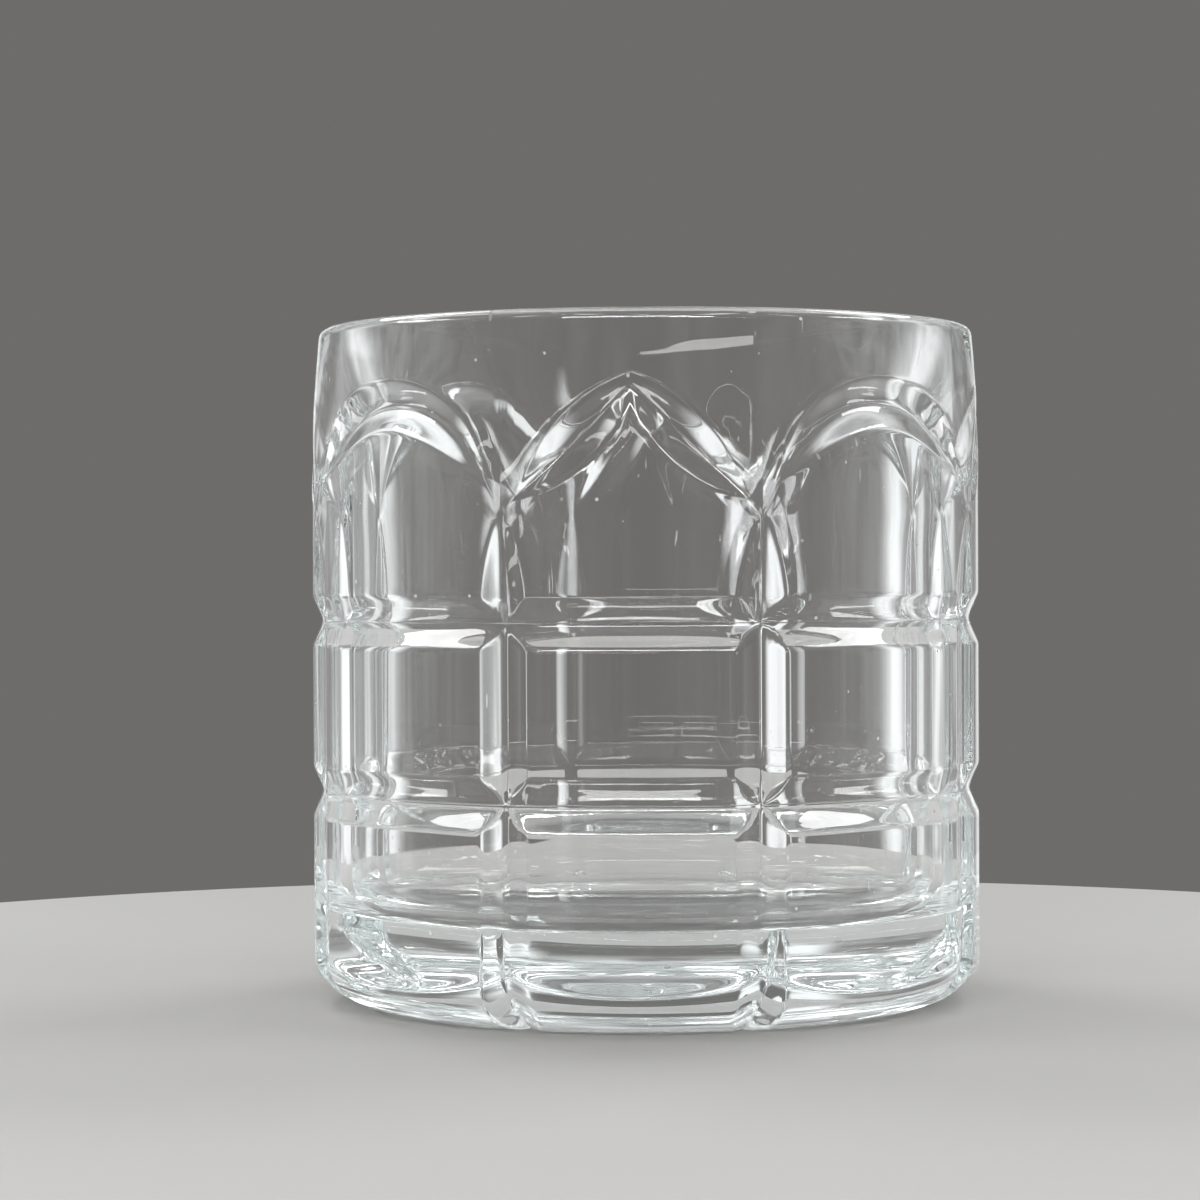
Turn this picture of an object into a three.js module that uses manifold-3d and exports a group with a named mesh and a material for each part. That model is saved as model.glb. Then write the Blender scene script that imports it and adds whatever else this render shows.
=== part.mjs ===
// Rocks glass: a heavy-based tumbler of clear pressed glass, one piece from lip to foot.
// Bowed panels stand round it, narrow and wide in turn, framed by mitre cuts: an upright groove
// at each corner and two level grooves round the glass. Over each narrow panel two leaf cuts meet
// in a pointed arch, and over each wide one a single crescent cut makes a round arch.
// Millimetres, +Z up. The origin is the middle of the ring that the glass stands on.

import * as THREE from "three";
import { mergeVertices } from "three/addons/utils/BufferGeometryUtils.js";
import Module from "manifold-3d";

// The blank, before any cut
const HEIGHT = 82.6;
const PANEL_PAIRS = 4; // a narrow panel and a wide one make a pair
const NARROW_SWEEP = 41.6; // degrees round the axis that a narrow panel takes
const PANEL_RADIUS = 41; // axis to the middle of a narrow panel
const PANEL_BOW = 58; // radius of a panel's own curve, seen from above
const WALL = 3.5; // at the middle of a narrow panel, just above the base
const BLANK_ALLOWANCE = 0.3; // the round blank stands this far proud of the panels' corners
const LIP_INSET = 0.7; // the lip stands this far inside the narrow panels
const LIP_THICKNESS = 2.6; // the lip is fully round
const BASE_THICKNESS = 11.5; // from the foot ring's plane to the floor
const FLOOR_FILLET = 5; // between the floor and the inner wall
const HEEL_RADIUS = 8.6; // between the outer wall and the foot
const FOOT_RING_WIDTH = 6; // the flat ring that the glass stands on
const FOOT_HOLLOW = 1.2; // rise of the dished underside inside that ring

// The mitre cuts, all made with the same V-edged wheel
const CUT_DEPTH = 1.4;
const CUT_WIDTH = 6; // of a cut that is CUT_DEPTH deep
const LOWER_GROOVE_HEIGHT = 26.2;
const UPPER_GROOVE_HEIGHT = 46.9;
const RIM_BAND = 8.7; // between the points of the arches and the top of the lip
const ARCH_RISE = 13.1; // from the foot of a pointed arch to its point
const ARCH_SPAN = 27.6; // between the feet of a pointed arch
const LEAF_OVERRUN = 2.5; // a whole leaf would run this far past the point, where it is stopped
const MITRE_LAP = 0.02; // each leaf runs this far over the middle line, into its mirror image
const CRESCENT_DROP = 1.8; // a round arch's keel tops out this far below the pointed arches
const CRESCENT_RADIUS = 17.9; // of a round arch's keel
const CRESCENT_SWEEP = 61; // degrees from the top of a round arch to either tip
const LIFT_LENGTH = 13.6; // over which the wheel lifts out at the top of an upright groove
const HEEL_RUN = 65; // degrees of the heel that an upright groove follows

// How finely the curves are cut into facets
const PANEL_FACETS = 10;
const LIP_FACETS = 8;
const HEEL_FACETS = 6;
const FILLET_FACETS = 5;
const HOLLOW_FACETS = 3;
const LIFT_FACETS = 10;
const LEAF_STEPS = 14;
const CRESCENT_STEPS = 18;

const CLEAR = 1.5; // how far a cutting tool reaches past the glass
const OVERREACH = 1.12; // a wheel's path runs on past both ends of its cut, out of the glass
const WELD = 1e-4; // points closer than this are one point

const wasm = await Module();
wasm.setup();

function solidFrom(geometry) {
  geometry.deleteAttribute("normal");
  geometry.deleteAttribute("uv");
  const merged = mergeVertices(geometry, WELD);
  const mesh = new wasm.Mesh({
    numProp: 3,
    vertProperties: merged.attributes.position.array,
    triVerts: new Uint32Array(merged.index.array),
  });
  return new wasm.Manifold(mesh);
}

// Where two cuts end in one point, their corners are joined and the facets of no size between them go.
function geometryFrom(solid) {
  const mesh = solid.getMesh();
  const geometry = new THREE.BufferGeometry();
  geometry.setAttribute("position", new THREE.BufferAttribute(mesh.vertProperties, 3));
  geometry.setIndex(new THREE.BufferAttribute(mesh.triVerts, 1));
  const welded = mergeVertices(geometry, WELD);
  const corners = welded.index.array;
  const facets = [];
  for (let at = 0; at < corners.length; at += 3) {
    const facet = corners.slice(at, at + 3);
    if (new Set(facet).size === 3) facets.push(...facet);
  }
  welded.setIndex(facets);
  welded.computeVertexNormals();
  return welded;
}

// Sizes that follow from the driving ones
const pairSweep = (2 * Math.PI) / PANEL_PAIRS;
const halfNarrow = THREE.MathUtils.degToRad(NARROW_SWEEP) / 2;
const halfWide = pairSweep / 2 - halfNarrow;

// Distance from the axis to a panel's face, at an angle from the panel's middle. The panel's centre
// of curvature lies behind the axis by the setback.
function panelFace(angle, setback) {
  const side = setback * Math.sin(angle);
  return Math.sqrt(PANEL_BOW ** 2 - side ** 2) - setback * Math.cos(angle);
}

// A wide panel has the same bow as a narrow one and meets it at the corner.
const narrowSetback = PANEL_BOW - PANEL_RADIUS;
const cornerRadius = panelFace(halfNarrow, narrowSetback);
const wideSide = cornerRadius * Math.sin(halfWide);
const wideSetback = Math.sqrt(PANEL_BOW ** 2 - wideSide ** 2) - cornerRadius * Math.cos(halfWide);
const narrowSwing = Math.asin((cornerRadius * Math.sin(halfNarrow)) / PANEL_BOW);
const wideSwing = Math.asin(wideSide / PANEL_BOW);
const lipRadius = PANEL_RADIUS - LIP_INSET;
const lipRound = LIP_THICKNESS / 2;
const lipHeight = HEIGHT - lipRound; // centre of the lip's round
const boreBottom = PANEL_RADIUS - WALL;
const bodyRadius = cornerRadius + BLANK_ALLOWANCE;
const heelCentre = bodyRadius - HEEL_RADIUS;
const archHeight = HEIGHT - RIM_BAND; // the arches' points
const springHeight = archHeight - ARCH_RISE; // the pointed arches' feet

// Above the arches' feet the round blank tapers to the lip, so the bowed panels run out in arches.
function blankRadius(height) {
  const share = (height - springHeight) / (lipHeight - springHeight);
  return THREE.MathUtils.lerp(bodyRadius, lipRadius, THREE.MathUtils.clamp(share, 0, 1));
}

function faceRadius(angle, height, setback) {
  return Math.min(panelFace(angle, setback), blankRadius(height));
}

// Half the section of the blank, from the middle of the underside, out round the wall and lip,
// and down the bore to the middle of the floor.
function blankSection() {
  const hollowRadius = heelCentre - FOOT_RING_WIDTH;
  const hollow = new THREE.QuadraticBezierCurve(
    new THREE.Vector2(0, FOOT_HOLLOW),
    new THREE.Vector2(hollowRadius / 2, FOOT_HOLLOW),
    new THREE.Vector2(hollowRadius, 0),
  );
  const heel = new THREE.EllipseCurve(heelCentre, HEEL_RADIUS, HEEL_RADIUS, HEEL_RADIUS, -Math.PI / 2, 0);
  const lip = new THREE.EllipseCurve(lipRadius - lipRound, lipHeight, lipRound, lipRound, 0, Math.PI);
  const fillet = new THREE.EllipseCurve(
    boreBottom - FLOOR_FILLET,
    BASE_THICKNESS + FLOOR_FILLET,
    FLOOR_FILLET,
    FLOOR_FILLET,
    0,
    -Math.PI / 2,
    true,
  );
  return [
    ...hollow.getPoints(HOLLOW_FACETS),
    ...heel.getPoints(HEEL_FACETS),
    new THREE.Vector2(bodyRadius, springHeight),
    ...lip.getPoints(LIP_FACETS),
    ...fillet.getPoints(FILLET_FACETS),
    new THREE.Vector2(0, BASE_THICKNESS),
  ];
}

// A lathe turns round +Y, so it is stood up.
function blank() {
  const lathe = new THREE.LatheGeometry(blankSection(), 2 * PANEL_PAIRS * PANEL_FACETS);
  lathe.rotateX(Math.PI / 2);
  return solidFrom(lathe);
}

// The outline of the panels seen from above, as a tall prism. The first narrow panel faces +X.
function panelPrism() {
  const outline = new THREE.Shape();
  const addPanel = (facing, setback, swing) => {
    const centreX = -setback * Math.cos(facing);
    const centreY = -setback * Math.sin(facing);
    outline.absarc(centreX, centreY, PANEL_BOW, facing - swing, facing + swing);
  };
  for (let pair = 0; pair < PANEL_PAIRS; pair++) {
    addPanel(pairSweep * pair, narrowSetback, narrowSwing);
    addPanel(pairSweep * (pair + 0.5), wideSetback, wideSwing);
  }
  const prism = new THREE.ExtrudeGeometry(outline, {
    depth: HEIGHT + 2 * CLEAR,
    bevelEnabled: false,
    curveSegments: PANEL_FACETS / 2, // an arc is drawn with twice as many
  });
  prism.translate(0, 0, -CLEAR);
  return solidFrom(prism);
}

// The wheel's V edge, with its point on the path and its mouth towards +Y of the section.
function wheelEdge() {
  const reach = CUT_DEPTH + CLEAR;
  const half = (reach * CUT_WIDTH) / (2 * CUT_DEPTH);
  const edge = new THREE.Shape();
  edge.moveTo(0, 0);
  edge.lineTo(half, reach);
  edge.lineTo(-half, reach);
  edge.closePath();
  return edge;
}

// A path whose steps lie exactly at its drawn points, so straight runs stay one facet long.
class StepPath extends THREE.Curve {
  constructor(points) {
    super();
    this.points = points;
  }

  get steps() {
    return this.points.length - 1;
  }

  getPoint(share, target = new THREE.Vector3()) {
    const place = share * this.steps;
    const from = Math.min(Math.floor(place), this.steps - 1);
    return target.lerpVectors(this.points[from], this.points[from + 1], place - from);
  }

  getPointAt(share, target) {
    return this.getPoint(share, target);
  }

  getTangentAt(share, target) {
    return this.getTangent(share, target);
  }
}

function sweepWheel(path, steps) {
  return new THREE.ExtrudeGeometry(wheelEdge(), { steps, extrudePath: path });
}

// The wheel comes in under the heel, follows it up, runs straight up the corner between two
// panels and lifts out to a point at the arches' feet.
function uprightGroove() {
  const bottom = cornerRadius - CUT_DEPTH;
  const heelRun = THREE.MathUtils.degToRad(HEEL_RUN);
  const heelCut = bottom - heelCentre;
  const heel = new THREE.EllipseCurve(heelCentre, HEEL_RADIUS, heelCut, heelCut, -heelRun, 0);
  const start = heel.getPoint(0);
  const entry = new THREE.Vector2(start.x - (start.y + CLEAR) * Math.tan(heelRun), -CLEAR);
  const wheelRadius = (LIFT_LENGTH ** 2 + CUT_DEPTH ** 2) / (2 * CUT_DEPTH);
  const liftAngle = Math.acos(1 - (CUT_DEPTH + CLEAR / 2) / wheelRadius);
  const lift = new THREE.EllipseCurve(
    bottom + wheelRadius,
    springHeight - LIFT_LENGTH,
    wheelRadius,
    wheelRadius,
    Math.PI,
    Math.PI - liftAngle,
    true,
  );
  const drawn = [entry, ...heel.getPoints(HEEL_FACETS), ...lift.getPoints(LIFT_FACETS)];
  const path = new StepPath(drawn.map((point) => new THREE.Vector3(point.x, 0, point.y)));
  return sweepWheel(path, path.steps);
}

// One panel's stretch of a level groove. It follows the panel's curve in facets of the same size, set
// half a facet aside, and runs on past both corners, inside its neighbours' grooves.
function levelGroove(height, setback, swing) {
  const radius = PANEL_BOW - CUT_DEPTH;
  const facets = PANEL_FACETS + 3;
  const past = (swing * facets) / PANEL_FACETS;
  const arc = new THREE.EllipseCurve(-setback, 0, radius, radius, past, -past, true);
  const drawn = arc.getPoints(facets);
  const path = new StepPath(drawn.map((point) => new THREE.Vector3(point.x, point.y, height)));
  return sweepWheel(path, path.steps);
}

function onFace(angle, height, setback) {
  const radius = faceRadius(angle, height, setback);
  return new THREE.Vector3(radius * Math.cos(angle), radius * Math.sin(angle), height);
}

// One leaf cut, from the foot of a pointed arch up to its panel's middle. Its depth falls from
// CUT_DEPTH at mid-length to nothing at both ends, so by itself it would be a pointed leaf.
// The panel's middle line stops it, and there it meets its mirror image in a mitre.
function leafCut(side) {
  const foot = onFace(side * Math.asin(ARCH_SPAN / 2 / cornerRadius), springHeight, narrowSetback);
  const point = onFace(0, archHeight, narrowSetback);
  const along = new THREE.Vector3().subVectors(foot, point).normalize();
  const tip = point.clone().addScaledVector(along, -LEAF_OVERRUN);
  const half = foot.distanceTo(tip) / 2;
  const chordMiddle = new THREE.Vector3().addVectors(foot, tip).multiplyScalar(0.5);
  const middle = onFace(Math.atan2(chordMiddle.y, chordMiddle.x), chordMiddle.z, narrowSetback);
  const out = new THREE.Vector3(middle.x, middle.y, 0);
  out.addScaledVector(along, -out.dot(along)).normalize();
  const across = new THREE.Vector3().crossVectors(out, along);
  const sink = middle.clone().sub(chordMiddle).dot(out) - CUT_DEPTH;
  const lift = sink * (1 - OVERREACH ** 2);
  const path = new THREE.QuadraticBezierCurve3(
    new THREE.Vector3(half * OVERREACH, 0, lift),
    new THREE.Vector3(0, 0, sink * (1 + OVERREACH ** 2)),
    new THREE.Vector3(-half * OVERREACH, 0, lift),
  );
  const leaf = sweepWheel(path, LEAF_STEPS);
  leaf.applyMatrix4(new THREE.Matrix4().makeBasis(along, across, out).setPosition(chordMiddle));
  const ownSide = new THREE.BoxGeometry(2 * bodyRadius, 2 * bodyRadius, 2 * HEIGHT);
  ownSide.translate(bodyRadius, side * (bodyRadius - MITRE_LAP), HEIGHT);
  return solidFrom(leaf).intersect(solidFrom(ownSide));
}

// The crescent cut over a wide panel: a straight length of the wheel's V, bent round the arch and
// over the panel's curve. Full width holds for most of its length, and both ends rise to points.
function crescentCut() {
  const crescent = new THREE.ExtrudeGeometry(wheelEdge(), {
    depth: 2,
    steps: CRESCENT_STEPS,
    bevelEnabled: false,
  });
  const top = archHeight - CRESCENT_DROP;
  const places = crescent.attributes.position;
  const vertex = new THREE.Vector3();
  for (let index = 0; index < places.count; index++) {
    vertex.fromBufferAttribute(places, index);
    const share = (vertex.z - 1) * OVERREACH;
    const turn = share * THREE.MathUtils.degToRad(CRESCENT_SWEEP);
    const angle = (CRESCENT_RADIUS * Math.sin(turn)) / (PANEL_BOW - wideSetback);
    const height = top - CRESCENT_RADIUS * (1 - Math.cos(turn));
    const spot = onFace(angle, height, wideSetback);
    const out = new THREE.Vector3(Math.cos(angle), Math.sin(angle), 0);
    const round = new THREE.Vector3(-Math.sin(angle), Math.cos(angle), 0);
    const across = round.multiplyScalar(Math.sin(turn)).setZ(Math.cos(turn));
    spot.addScaledVector(out, vertex.y - CUT_DEPTH * (1 - share ** 4));
    spot.addScaledVector(across, vertex.x);
    places.setXYZ(index, spot.x, spot.y, spot.z);
  }
  return crescent;
}

// The cuts of one pair of panels, of which the narrow one faces +X
const pointedArch = leafCut(1).add(leafCut(-1));
const roundArch = solidFrom(crescentCut().rotateZ(pairSweep / 2));
const pairCuts = [pointedArch, roundArch];
for (const height of [LOWER_GROOVE_HEIGHT, UPPER_GROOVE_HEIGHT]) {
  pairCuts.push(solidFrom(levelGroove(height, narrowSetback, narrowSwing)));
  pairCuts.push(solidFrom(levelGroove(height, wideSetback, wideSwing).rotateZ(pairSweep / 2)));
}
for (const corner of [-halfNarrow, halfNarrow]) {
  pairCuts.push(solidFrom(uprightGroove().rotateZ(corner)));
}

let glass = blank().intersect(panelPrism());
for (let pair = 0; pair < PANEL_PAIRS; pair++) {
  const facing = THREE.MathUtils.radToDeg(pairSweep) * pair;
  for (const cut of pairCuts) {
    glass = glass.subtract(cut.rotate([0, 0, facing]));
  }
}

const clearGlass = new THREE.MeshStandardMaterial({
  color: 0xe4ecea,
  roughness: 0.04,
  metalness: 0,
  transparent: true,
  opacity: 0.35,
});

const tumbler = new THREE.Mesh(geometryFrom(glass), clearGlass);
tumbler.name = "glass_tumbler";

const rocksGlass = new THREE.Group();
rocksGlass.name = "rocks_glass";
rocksGlass.add(tumbler);

export default rocksGlass;
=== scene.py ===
import math

import bpy
from mathutils import Euler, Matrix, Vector


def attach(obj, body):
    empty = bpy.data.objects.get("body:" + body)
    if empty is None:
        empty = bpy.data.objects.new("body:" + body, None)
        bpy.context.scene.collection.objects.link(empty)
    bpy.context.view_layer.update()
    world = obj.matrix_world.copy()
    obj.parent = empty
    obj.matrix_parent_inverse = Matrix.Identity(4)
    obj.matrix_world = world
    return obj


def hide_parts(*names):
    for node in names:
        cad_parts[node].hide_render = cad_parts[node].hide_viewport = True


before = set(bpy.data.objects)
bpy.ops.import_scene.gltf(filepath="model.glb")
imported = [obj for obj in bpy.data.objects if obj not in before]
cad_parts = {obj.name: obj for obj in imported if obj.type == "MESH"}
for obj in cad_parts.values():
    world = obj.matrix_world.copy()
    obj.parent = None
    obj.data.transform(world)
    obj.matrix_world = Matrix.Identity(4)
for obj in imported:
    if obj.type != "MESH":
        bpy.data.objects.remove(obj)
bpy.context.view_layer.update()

# The tumbler: one gob of clear soda-lime glass, pressed between a mould and a plunger, then fire-polished.
# Narrow and wide bowed panels stand round it in turn, framed by a V-edged wheel's cuts: upright grooves at
# the corners, two level grooves, and pointed arches of two leaves and round arches of one crescent by turns.

# Sizes are in millimetres until the cut glass is set out in metres.
HEIGHT = 82.6
PAIRS = 4
PAIR_SWEEP = 2 * math.pi / PAIRS
HALF_NARROW = math.radians(41.6) / 2
HALF_WIDE = PAIR_SWEEP / 2 - HALF_NARROW
PANEL_RADIUS = 41.0
PANEL_BOW = 58.0
NARROW_SETBACK = PANEL_BOW - PANEL_RADIUS
CORNER_RADIUS = math.sqrt(
    PANEL_BOW**2 - (NARROW_SETBACK * math.sin(HALF_NARROW)) ** 2
) - NARROW_SETBACK * math.cos(HALF_NARROW)
WIDE_SETBACK = math.sqrt(
    PANEL_BOW**2 - (CORNER_RADIUS * math.sin(HALF_WIDE)) ** 2
) - CORNER_RADIUS * math.cos(HALF_WIDE)
NARROW_LENGTH = CORNER_RADIUS * HALF_NARROW
WIDE_LENGTH = CORNER_RADIUS * HALF_WIDE
BLANK_ALLOWANCE = 0.3
BODY_RADIUS = CORNER_RADIUS + BLANK_ALLOWANCE
LIP_RADIUS = 40.3
LIP_ROUND = 1.3
BORE_RADIUS = 37.5
FLOOR_HEIGHT = 11.5
FLOOR_FILLET = 5.0
HEEL_RADIUS = 8.6
HEEL_CENTRE = BODY_RADIUS - HEEL_RADIUS
FOOT_RING = 6.0
HOLLOW_RADIUS = HEEL_CENTRE - FOOT_RING
HOLLOW_RISE = 1.2

CUT_DEPTH = 1.4
CUT_WIDTH = 6.0
LOWER_GROOVE = 26.2
UPPER_GROOVE = 46.9
ARCH_FOOT = 60.8
ARCH_RISE = 13.1
ARCH_SPAN = 27.6
LEAF_OVERRUN = 2.5
CRESCENT_TOP = 72.1
CRESCENT_RADIUS = 17.9
CRESCENT_SWEEP = math.radians(61.0)
LIFT_LENGTH = 13.6

# A cut's marks run from its keel, 0, past its edge, 1. They crowd where the glass turns sharply.
MARKS = (0.0, 0.05, 0.12, 0.27, 0.48, 0.69, 0.83, 0.91, 0.97, 1.03, 1.09, 1.18, 1.4)
LAST_MARK = MARKS[-1]


def shares(count):
    """Even steps from 0 to 1, without the two ends."""
    return [step / count for step in range(1, count)]


def row(radius, height, **marks):
    """One line of points round the glass. arch and leaf say how far it follows an arch's keel and edge."""
    return {"arch": 0.0, "leaf": 0.0, "tilt": 0.0, "run": 0.0, "outer": 0.0, **marks, "at": (radius, height)}


def wall_row(height, arch=0.0, leaf=0.0):
    return row(BODY_RADIUS, height, arch=arch, leaf=leaf, run=1.0, outer=1.0)


def groove_rows(height):
    reach = CUT_WIDTH / 2
    return [wall_row(height + mark * reach) for mark in [-m for m in MARKS[:0:-1]] + list(MARKS)]


rows = []
for share in [0.0] + shares(9):
    rows.append(row(HOLLOW_RADIUS * share, HOLLOW_RISE * (1 - share**2)))
for share in (0.0, 0.05, 0.35, 0.7):
    rows.append(row(HOLLOW_RADIUS + FOOT_RING * share, 0.0))
# The upright grooves start in the foot ring and reach their full depth a third of the way up the heel.
CUT_START = 0.75
FOOT_GAIN = 1.2
HEEL_GAIN = 2.0
for share in (CUT_START, 0.82, 0.9, 0.97):
    radius = HOLLOW_RADIUS + FOOT_RING * share
    rows.append(row(radius, 0.0, tilt=math.pi / 2, run=FOOT_GAIN * (share - CUT_START), outer=1.0))
foot_run = FOOT_GAIN * (1 - CUT_START)
for share in [0.0] + shares(30):
    slope = math.pi / 2 * (1 - share)
    rows.append(
        row(
            HEEL_CENTRE + HEEL_RADIUS * math.cos(slope),
            HEEL_RADIUS - HEEL_RADIUS * math.sin(slope),
            tilt=slope,
            run=min(1.0, foot_run + HEEL_GAIN * share),
            outer=1.0,
        )
    )
clear = LAST_MARK * CUT_WIDTH / 2
for share in [0.0] + shares(10):
    rows.append(wall_row(HEEL_RADIUS + (LOWER_GROOVE - clear - HEEL_RADIUS) * share))
rows += groove_rows(LOWER_GROOVE)
for share in shares(10):
    rows.append(wall_row(LOWER_GROOVE + clear + (UPPER_GROOVE - LOWER_GROOVE - 2 * clear) * share))
rows += groove_rows(UPPER_GROOVE)
for share in shares(12):
    rows.append(wall_row((UPPER_GROOVE + clear) * (1 - share), share, -LAST_MARK * share))
for mark in [-m for m in MARKS[:0:-1]] + list(MARKS):
    rows.append(wall_row(0.0, 1.0, mark))
for share in shares(10):
    rows.append(wall_row((HEIGHT - LIP_ROUND) * share, 1 - share, LAST_MARK * (1 - share)))
for share in [0.0] + shares(14):
    turn = math.pi * share
    rows.append(
        row(LIP_RADIUS - LIP_ROUND * (1 - math.cos(turn)), HEIGHT - LIP_ROUND * (1 - math.sin(turn)))
    )
bore_top = LIP_RADIUS - 2 * LIP_ROUND
for share in [0.0] + shares(18):
    fall = HEIGHT - LIP_ROUND - FLOOR_HEIGHT - FLOOR_FILLET
    rows.append(row(bore_top + (BORE_RADIUS - bore_top) * share, HEIGHT - LIP_ROUND - fall * share))
for share in [0.0] + shares(12):
    turn = math.pi / 2 * share
    rows.append(
        row(
            BORE_RADIUS - FLOOR_FILLET * (1 - math.cos(turn)),
            FLOOR_HEIGHT + FLOOR_FILLET * (1 - math.sin(turn)),
        )
    )
for share in [0.0] + shares(8) + [1.0]:
    rows.append(row((BORE_RADIUS - FLOOR_FILLET) * (1 - share), FLOOR_HEIGHT))

# Half a panel's columns, from its corner to its middle, as a distance and a share of the groove's width.
# A pair of panels is laid side by side, the narrow one first.
columns = []
for kind, length in ((0.0, NARROW_LENGTH), (1.0, WIDE_LENGTH)):
    half = [(0.0, mark) for mark in MARKS]
    half += [(length * share, LAST_MARK * (1 - share)) for share in shares(13)]
    columns += [(kind, -1.0, *column) for column in half]
    columns += [(kind, 1.0, length, 0.0)]
    columns += [(kind, 1.0, *column) for column in reversed(half)]

points = [(line["at"][0], column[2], line["at"][1]) for line in rows for column in columns]
faces = []
for line in range(len(rows) - 1):
    for column in range(len(columns) - 1):
        first = line * len(columns) + column
        faces.append((first, first + 1, first + len(columns) + 1, first + len(columns)))
marked_out = bpy.data.meshes.new("marked_out_panels")
marked_out.from_pydata(points, [], faces)
for name in ("arch", "leaf", "tilt", "run", "outer"):
    values = [line[name] for line in rows for column in columns]
    marked_out.attributes.new(name, "FLOAT", "POINT").data.foreach_set("value", values)
for place, name in enumerate(("kind", "side", "distance", "groove")):
    values = [column[place] for line in rows for column in columns]
    marked_out.attributes.new(name, "FLOAT", "POINT").data.foreach_set("value", values)


class Wire:
    """A node's output, which can be written in sums. Each sum adds its Math node to the same tree."""

    def __init__(self, socket):
        self.socket = socket

    @classmethod
    def node(cls, tree, kind, settings=(), sockets=(), output=0):
        made = tree.nodes.new(kind)
        for name, value in dict(settings).items():
            setattr(made, name, value)
        for name, value in dict(sockets).items():
            if isinstance(value, cls):
                tree.links.new(value.socket, made.inputs[name])
            else:
                made.inputs[name].default_value = value
        return cls(made.outputs[output])

    def maths(self, operation, *values):
        return self.node(self.socket.id_data, "ShaderNodeMath", {"operation": operation}, enumerate(values))

    def __add__(self, other):
        return self.maths("ADD", self, other)

    def __radd__(self, other):
        return self.maths("ADD", other, self)

    def __sub__(self, other):
        return self.maths("SUBTRACT", self, other)

    def __rsub__(self, other):
        return self.maths("SUBTRACT", other, self)

    def __mul__(self, other):
        return self.maths("MULTIPLY", self, other)

    def __rmul__(self, other):
        return self.maths("MULTIPLY", other, self)

    def __truediv__(self, other):
        return self.maths("DIVIDE", self, other)

    def __rtruediv__(self, other):
        return self.maths("DIVIDE", other, self)

    def __pow__(self, other):
        return self.maths("POWER", self, other)

    def at_least(self, other):
        return self.maths("MAXIMUM", self, other)

    def at_most(self, other):
        return self.maths("MINIMUM", self, other)

    def root(self):
        return self.maths("SQRT", self)

    def pick(self, first, second):
        """first where this is 0, second where it is 1"""
        return first + self * (second - first)

    def fade(self, start, end, low=0.0, high=1.0):
        """low up to start, high from end on, and an easy slope between them"""
        ends = {"From Min": start, "From Max": end, "To Min": low, "To Max": high}
        easy = {"interpolation_type": "SMOOTHSTEP"}
        return self.node(self.socket.id_data, "ShaderNodeMapRange", easy, {"Value": self, **ends})


# The rule of the cuts, for one pair of panels with the narrow one facing +X, set four times round the axis
cutting = bpy.data.node_groups.new("mitre_cut_tumbler", "GeometryNodeTree")
cutting.interface.new_socket("Geometry", in_out="INPUT", socket_type="NodeSocketGeometry")
cutting.interface.new_socket("Geometry", in_out="OUTPUT", socket_type="NodeSocketGeometry")
cut_sizes = {
    "Panel radius": PANEL_RADIUS,
    "Panel bow": PANEL_BOW,
    "Body radius": BODY_RADIUS,
    "Lip radius": LIP_RADIUS,
    "Lip height": HEIGHT - LIP_ROUND,
    "Cut depth": CUT_DEPTH,
    "Cut width": CUT_WIDTH,
    "Lower groove": LOWER_GROOVE,
    "Upper groove": UPPER_GROOVE,
    "Arch foot": ARCH_FOOT,
    "Arch rise": ARCH_RISE,
    "Arch span": ARCH_SPAN,
    "Leaf overrun": LEAF_OVERRUN,
    "Crescent top": CRESCENT_TOP,
    "Crescent radius": CRESCENT_RADIUS,
    "Lift length": LIFT_LENGTH,
    "Keel round": 0.5,
    "Edge round": 0.3,
    "Mitre round": 0.14,
    "Panel edge round": 0.7,
    "Plunger waves": 0.02,
}
identifiers = {}
for name, size in cut_sizes.items():
    socket = cutting.interface.new_socket(name, in_out="INPUT", socket_type="NodeSocketFloat")
    identifiers[name] = socket.identifier
entry = cutting.nodes.new("NodeGroupInput")
size = {name: Wire(entry.outputs[name]) for name in cut_sizes}


def mark(name):
    return Wire.node(
        cutting, "GeometryNodeInputNamedAttribute", {"data_type": "FLOAT"}, {"Name": name}
    )


place = cutting.nodes.new("ShaderNodeSeparateXYZ")
cutting.links.new(cutting.nodes.new("GeometryNodeInputPosition").outputs[0], place.inputs[0])
blank_radius = Wire(place.outputs["X"])
laid_height = Wire(place.outputs["Z"])
arch, leaf, tilt, run, outer = (mark(name) for name in ("arch", "leaf", "tilt", "run", "outer"))

# Where a marked line lies once it follows the grooves, the leaves and the crescents. Towards a cut's tip
# the lines draw together, but only to this share of the cut's width.
NARROWEST = 0.12
kind = mark("kind")
half_width = size["Cut width"] / 2
corner_height = laid_height + arch * size["Arch foot"]
corner_lift = (corner_height - size["Arch foot"] + size["Lift length"]).at_least(0) / size["Lift length"]
from_corner = mark("distance") + mark("groove") * half_width * (1 - corner_lift**2).at_least(NARROWEST)
from_middle = kind * (WIDE_LENGTH - NARROW_LENGTH) + NARROW_LENGTH - from_corner
angle = mark("side") * from_middle / CORNER_RADIUS

leaf_run = size["Arch span"] / 2
from_foot = leaf_run - from_middle
leaf_length = (size["Arch rise"] ** 2 + leaf_run**2).root()
leaf_across = leaf_run / leaf_length
leaf_up = size["Arch rise"] / leaf_length
leaf_whole = leaf_length + size["Leaf overrun"]
leaf_keel = size["Arch foot"] + size["Arch rise"] * from_foot / leaf_run
keel_share = 2 * from_foot / leaf_across / leaf_whole - 1
leaf_reach = (1 - keel_share**2).at_least(NARROWEST) / leaf_across

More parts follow.
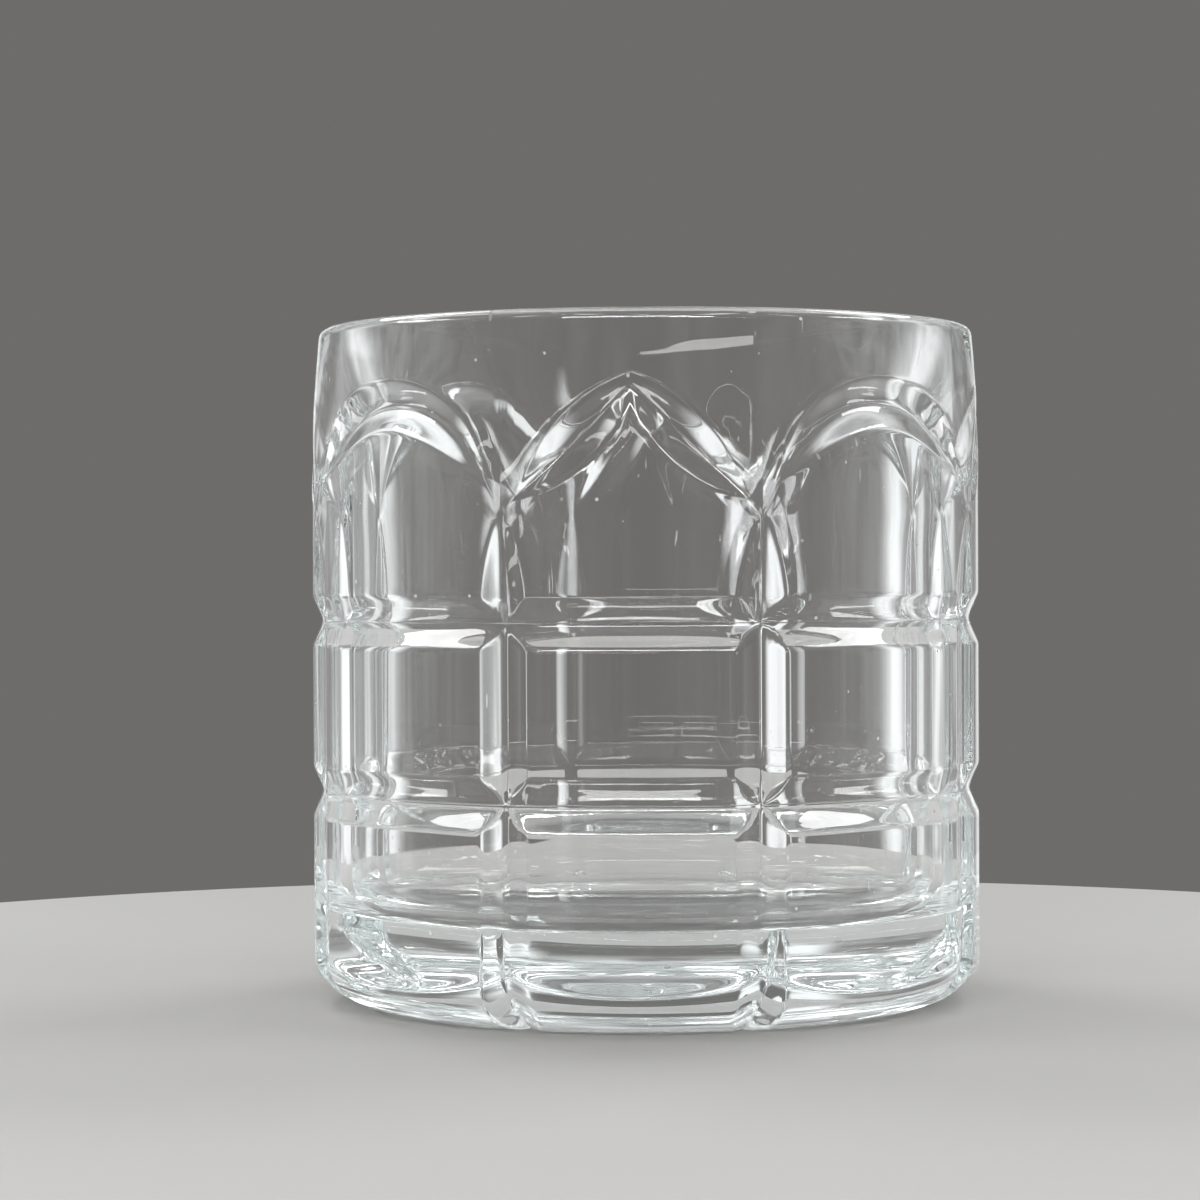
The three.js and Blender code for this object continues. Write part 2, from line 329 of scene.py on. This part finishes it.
tip_run = size["Crescent radius"] * math.sin(CRESCENT_SWEEP)
tip_height = size["Crescent radius"] * math.cos(CRESCENT_SWEEP)
crescent_middle = size["Crescent top"] - size["Crescent radius"]
arc_height = (size["Crescent radius"] ** 2 - from_middle**2).at_least(tip_height**2).root()
corner_keel = size["Arch foot"] + size["Arch rise"] * (leaf_run - NARROW_LENGTH) / leaf_run
past_tip = (from_middle - tip_run).at_least(0) / (WIDE_LENGTH - tip_run)
crescent_keel = crescent_middle + arc_height - past_tip * (crescent_middle + tip_height - corner_keel)
arc_share = from_middle.maths("ARCTAN2", from_middle, arc_height) / CRESCENT_SWEEP + past_tip
steepness = (size["Crescent radius"] / arc_height).at_most(1 / leaf_across)
crescent_reach = (1 - arc_share**4).at_least(NARROWEST) * steepness

keel_height = kind.pick(leaf_keel, crescent_keel)
height = laid_height + arch * keel_height + leaf * half_width * kind.pick(leaf_reach, crescent_reach)

# How deep the wheel has gone there
slope = size["Cut depth"] / half_width


def flank(offset):
    return slope * (offset**2 + size["Keel round"] ** 2).root()


level = (size["Cut depth"] - flank(height - size["Lower groove"])).at_least(
    size["Cut depth"] - flank(height - size["Upper groove"])
)
lift = (height - size["Arch foot"] + size["Lift length"]).at_least(0) / size["Lift length"]
upright = size["Cut depth"] * (run - lift**2) - flank(from_corner)
leaf_share = 2 * (from_foot * leaf_across + (height - size["Arch foot"]) * leaf_up) / leaf_whole - 1
leaf_offset = (height - size["Arch foot"]) * leaf_across - from_foot * leaf_up
leaves = size["Cut depth"] * (1 - leaf_share**2) - flank(leaf_offset)
above = height - crescent_middle
crescent_share = from_middle.maths("ARCTAN2", from_middle, above) / CRESCENT_SWEEP
crescent_offset = (from_middle**2 + above**2).root() - size["Crescent radius"]
crescent = size["Cut depth"] * (1 - crescent_share**4) - flank(crescent_offset)
arches = kind.pick(leaves, crescent)
depth = level.maths("SMOOTH_MAX", level, upright, size["Mitre round"])
depth = depth.maths("SMOOTH_MAX", depth, arches, size["Mitre round"])
depth = outer * depth.maths("SMOOTH_MAX", depth, 0.0, size["Edge round"])

# The panel's own face, and the round blank that it runs out into under the rim
setback = kind.pick(size["Panel bow"] - size["Panel radius"], WIDE_SETBACK)
side_step = setback * angle.maths("SINE", angle)
face = (size["Panel bow"] ** 2 - side_step**2).root() - setback * angle.maths("COSINE", angle)
rise = ((height - size["Arch foot"]) / (size["Lip height"] - size["Arch foot"])).at_least(0).at_most(1)
taper = size["Body radius"] + (size["Lip radius"] - size["Body radius"]) * rise
formed = face.maths("SMOOTH_MIN", face, blank_radius.at_most(taper), size["Panel edge round"])
radius = blank_radius + outer * (formed - blank_radius) - depth * tilt.maths("COSINE", tilt)
METRE = 0.001
bearing = angle + kind * (PAIR_SWEEP / 2)
spot = Wire.node(
    cutting,
    "ShaderNodeCombineXYZ",
    sockets={
        "X": radius * bearing.maths("COSINE", bearing) * METRE,
        "Y": radius * bearing.maths("SINE", bearing) * METRE,
        "Z": (height + depth * tilt.maths("SINE", tilt)) * METRE,
    },
)
panel = Wire.node(
    cutting,
    "GeometryNodeSetPosition",
    sockets={"Geometry": Wire(entry.outputs["Geometry"]), "Position": spot},
)
posts = Wire.node(cutting, "GeometryNodePoints", sockets={"Count": PAIRS})
number = Wire.node(cutting, "GeometryNodeInputIndex")
facing = Wire.node(cutting, "ShaderNodeCombineXYZ", sockets={"Z": number * PAIR_SWEEP})
ring = Wire.node(
    cutting,
    "GeometryNodeInstanceOnPoints",
    sockets={"Points": posts, "Instance": panel, "Rotation": facing},
)
ring = Wire.node(cutting, "GeometryNodeRealizeInstances", sockets={"Geometry": ring})
welded = Wire.node(cutting, "GeometryNodeMergeByDistance", sockets={"Geometry": ring, "Distance": 2e-6})
WAVE_SEED = 7.0
WAVES_PER_METRE = 45.0
waves = Wire.node(
    cutting,
    "ShaderNodeTexNoise",
    {"noise_dimensions": "4D"},
    {"Scale": WAVES_PER_METRE, "Detail": 1.0, "W": WAVE_SEED},
)
swell_height = (waves - 0.5) * size["Plunger waves"] * METRE
swell = Wire.node(
    cutting,
    "ShaderNodeVectorMath",
    {"operation": "SCALE"},
    {0: Wire.node(cutting, "GeometryNodeInputNormal"), "Scale": swell_height},
)
pressed = Wire.node(cutting, "GeometryNodeSetPosition", sockets={"Geometry": welded, "Offset": swell})
smooth = Wire.node(cutting, "GeometryNodeSetShadeSmooth", sockets={"Geometry": pressed})

GLASS_IOR = 1.52
clear_glass = bpy.data.materials.new("clear_glass")
clear_glass.use_nodes = True
finish = clear_glass.node_tree
grain = Wire.node(finish, "ShaderNodeTexCoord", output="Object")
body = finish.nodes["Principled BSDF"]
body.inputs["IOR"].default_value = GLASS_IOR
body.inputs["Transmission Weight"].default_value = 1.0

# Handling leaves a faint film in patches, and the film dulls and greys the glass a little.
CLEAN = (1.0, 1.0, 1.0, 1.0)
FILMED = (0.955, 0.965, 0.962, 1.0)
FILM_ROUGHNESS = 0.05
film = Wire.node(finish, "ShaderNodeTexNoise", sockets={"Vector": grain, "Scale": 55.0, "Detail": 5.0})
finish.links.new(film.fade(0.52, 0.74, 0.0, FILM_ROUGHNESS).socket, body.inputs["Roughness"])
clean_and_filmed = {"Factor": film.fade(0.5, 0.75), "A": CLEAN, "B": FILMED}
tone = Wire.node(finish, "ShaderNodeMix", {"data_type": "RGBA"}, clean_and_filmed, output="Result")
finish.links.new(tone.socket, body.inputs["Base Color"])

# The mould's drag left shallow upright waves in the skin of the glass.
DRAG_HEIGHT = 0.00001
drag_grain = {"Vector": grain, "Scale": (150.0, 150.0, 18.0)}
drawn_out = Wire.node(finish, "ShaderNodeMapping", sockets=drag_grain)
drag = Wire.node(finish, "ShaderNodeTexNoise", sockets={"Vector": drawn_out, "Scale": 1.0, "Detail": 1.0})
skin = {"Strength": 1.0, "Distance": DRAG_HEIGHT, "Height": drag}
finish.links.new(Wire.node(finish, "ShaderNodeBump", sockets=skin).socket, body.inputs["Normal"])

# A few specks of dust and short scratches lie on it.
DUST = (0.85, 0.86, 0.86, 1.0)
DUST_COVER = 0.6
specks = Wire.node(finish, "ShaderNodeTexVoronoi", sockets={"Vector": grain, "Scale": 210.0})
turned = {"Vector": grain, "Rotation": (0.5, 0.7, 0.3), "Scale": (260.0, 260.0, 30.0)}
slanted = Wire.node(finish, "ShaderNodeMapping", sockets=turned)
scratches = Wire.node(finish, "ShaderNodeTexVoronoi", sockets={"Vector": slanted, "Scale": 1.0})
marks = specks.fade(0.035, 0.055, 1.0, 0.0).at_least(scratches.fade(0.02, 0.035, 1.0, 0.0))
dust = Wire.node(finish, "ShaderNodeBsdfDiffuse", sockets={"Color": DUST})
layers = {0: marks * DUST_COVER, 1: Wire(body.outputs[0]), 2: dust}
dusted = Wire.node(finish, "ShaderNodeMixShader", sockets=layers)
finish.links.new(dusted.socket, finish.nodes["Material Output"].inputs["Surface"])

# Iron in the sand tints thick glass a faint blue green.
tint = {"Color": (0.86, 0.955, 0.95, 1.0), "Density": 4.5}
depths = Wire.node(finish, "ShaderNodeVolumeAbsorption", sockets=tint)
finish.links.new(depths.socket, finish.nodes["Material Output"].inputs["Volume"])

dressed = Wire.node(
    cutting, "GeometryNodeSetMaterial", sockets={"Geometry": smooth, "Material": clear_glass}
)
cutting.links.new(dressed.socket, cutting.nodes.new("NodeGroupOutput").inputs["Geometry"])

glass = bpy.data.objects.new("tumbler_glass", marked_out)
bpy.context.scene.collection.objects.link(glass)
modifier = glass.modifiers.new("Mitre cuts", "NODES")
modifier.node_group = cutting
for name, value in cut_sizes.items():
    modifier[identifiers[name]] = value
bpy.context.view_layer.update()
cut_mesh = bpy.data.meshes.new_from_object(glass.evaluated_get(bpy.context.evaluated_depsgraph_get()))
glass.modifiers.remove(modifier)
for name in ("arch", "leaf", "tilt", "run", "outer", "kind", "side", "distance", "groove"):
    cut_mesh.attributes.remove(cut_mesh.attributes[name])
glass.data = cut_mesh
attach(glass, "root")
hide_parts("glass_tumbler")

# The floor: a plain round table top with a pale matt finish, which the glass stands on.
# It belongs to the studio, not to the glass, and lies a hair under the foot ring.

FLOOR_RADIUS = 0.16
FLOOR_SIDES = 128
FLOOR_LEVEL = -0.00005
FLOOR_COLOUR = (0.46, 0.453, 0.445, 1.0)
FLOOR_ROUGHNESS = 0.6
turns = [2 * math.pi * side / FLOOR_SIDES for side in range(FLOOR_SIDES)]
rim = [(FLOOR_RADIUS * math.cos(turn), FLOOR_RADIUS * math.sin(turn), FLOOR_LEVEL) for turn in turns]
floor_mesh = bpy.data.meshes.new("pale_floor")
floor_mesh.from_pydata(rim, [], [tuple(range(FLOOR_SIDES))])
floor = bpy.data.objects.new("pale_floor", floor_mesh)
bpy.context.scene.collection.objects.link(floor)
pale = bpy.data.materials.new("pale_floor")
pale.use_nodes = True
matt = pale.node_tree.nodes["Principled BSDF"]
matt.inputs["Base Color"].default_value = FLOOR_COLOUR
matt.inputs["Roughness"].default_value = FLOOR_ROUGHNESS
floor_mesh.materials.append(pale)

# The studio: a mid-grey backdrop between large white side walls and a pale ceiling, all out of focus, with
# two narrow windows in front and soft lamps round the glass. From the front they lie outside the picture,
# and the glass bends their light into its cut edges.

BACKDROP = (0.155, 0.15, 0.145, 1.0)
WALLS = (1.05, 1.075, 1.08, 1.0)
WINDOWS = (10.0, 10.2, 10.4, 1.0)
surround = bpy.data.worlds.new("studio_surround")
surround.use_nodes = True
studio = surround.node_tree
outward = Wire.node(studio, "ShaderNodeTexCoord", output="Generated")
split = Wire.node(studio, "ShaderNodeSeparateXYZ", sockets={0: outward}).socket.node
sideways, away, upward = (Wire(split.outputs[axis]) for axis in "XYZ")

# Directions are parts of a unit vector. The screens stand even about the view, which leans to one side.
VIEW_LEAN = 0.053
blotches = Wire.node(
    studio,
    "ShaderNodeTexNoise",
    {"noise_dimensions": "4D"},
    {"Vector": outward, "Scale": 6.0, "Detail": 2.0, "W": 3.0},
)
uneven = blotches.fade(0.36, 0.62, 0.2, 1.0)
off_axis = sideways + VIEW_LEAN
aside = off_axis.maths("ABSOLUTE", off_axis)
screens = aside.fade(0.17, 0.26) - aside.fade(0.3, 0.38, 0.0, 0.8) + aside.fade(0.6, 0.8, 0.0, 0.8)
walls = screens * away.fade(-0.5, 0.1, 0.3, 1.0) * uneven
ceiling = upward.fade(0.2, 0.5) * away.fade(-0.6, 0.2, 0.25, 0.7) * uneven
room_factor = walls.at_least(ceiling).at_most(1.0)
room = {"Factor": room_factor, "A": BACKDROP, "B": WALLS}
lit = Wire.node(studio, "ShaderNodeMix", {"data_type": "RGBA"}, room, output="Result")

# Seen from the front, only the rounded edges of the upright grooves mirror the windows, and no panel does.
LEFT_WINDOW = -0.72
RIGHT_WINDOW = 0.62
WINDOW_LEVEL = 0.015
past_left = sideways - LEFT_WINDOW
past_right = sideways - RIGHT_WINDOW
beside = past_left.maths("ABSOLUTE", past_left).at_most(past_right.maths("ABSOLUTE", past_right))
past_level = upward - WINDOW_LEVEL
over = past_level.maths("ABSOLUTE", past_level)
in_front = away.fade(-0.5, -0.4, 1.0, 0.0)
bars = beside.fade(0.02, 0.06, 1.0, 0.0) * over.fade(0.01, 0.04, 1.0, 0.0) * in_front
windowed = {"Factor": bars, "A": lit, "B": WINDOWS}
lit = Wire.node(studio, "ShaderNodeMix", {"data_type": "RGBA"}, windowed, output="Result")
studio.links.new(lit.socket, studio.nodes["Background"].inputs["Color"])
studio.nodes["Background"].inputs["Strength"].default_value = 1.0
bpy.context.scene.world = surround

# Light runs round inside the thick base and the wall many times before it leaves them.
LIGHT_TURNS = 32
bpy.context.scene.cycles.max_bounces = LIGHT_TURNS
bpy.context.scene.cycles.transmission_bounces = LIGHT_TURNS
bpy.context.scene.cycles.glossy_bounces = LIGHT_TURNS

LAMP_DISTANCE = 0.62
LAMP_AIM = Vector((0.0, 0.0, 0.045))


def lamp(name, bearing, height, size, power):
    """A lamp with a soft screen, at a bearing from the front of the glass, aimed at its middle."""
    light = bpy.data.lights.new(name, "AREA")
    light.shape = "RECTANGLE"
    light.size, light.size_y = size
    light.energy = power
    stand = bpy.data.objects.new(name, light)
    turn = math.radians(bearing)
    stand.location = (LAMP_DISTANCE * math.sin(turn), -LAMP_DISTANCE * math.cos(turn), height)
    aim = LAMP_AIM - stand.location
    stand.rotation_euler = aim.to_track_quat("-Z", "Y").to_euler()
    bpy.context.scene.collection.objects.link(stand)


lamp("left_lamp", -85.0, 0.4, (0.3, 0.08), 0.9)
lamp("right_lamp", 85.0, 0.4, (0.3, 0.08), 0.9)
lamp("front_lamp", 0.0, 0.3, (0.6, 0.05), 2.4)
lamp("left_top_lamp", -135.0, 0.7, (0.35, 0.3), 2.2)
lamp("right_top_lamp", 135.0, 0.7, (0.35, 0.3), 2.2)
lamp("rim_lamp", -20.0, 0.116, (0.55, 0.014), 0.17)

# The camera: a long lens a little above half the glass's height, hand-held, so it leans and rolls slightly.
# It stands a touch to one side, so that one narrow panel nearly faces it.

CAMERA_DISTANCE = 0.4279
CAMERA_HEIGHT = 0.0537
PANEL_TURN = math.radians(2.3)
SENSOR = 36.0
LENS = 103.58
PITCH = math.radians(90.0 - 0.607)
ROLL = math.radians(0.27)
YAW = PANEL_TURN + math.radians(0.756)
eye = bpy.data.cameras.new("camera")
eye.sensor_width = SENSOR
eye.lens = LENS
camera = bpy.data.objects.new("camera", eye)
about_axis = Euler((0.0, 0.0, PANEL_TURN)).to_matrix()
camera.location = about_axis @ Vector((0.0, -CAMERA_DISTANCE, CAMERA_HEIGHT))
camera.rotation_euler = Euler((PITCH, ROLL, YAW), "XYZ")
bpy.context.scene.collection.objects.link(camera)
bpy.context.scene.camera = camera

# The plain transform lets the brightest edges reach white.
bpy.context.scene.view_settings.view_transform = "Standard"
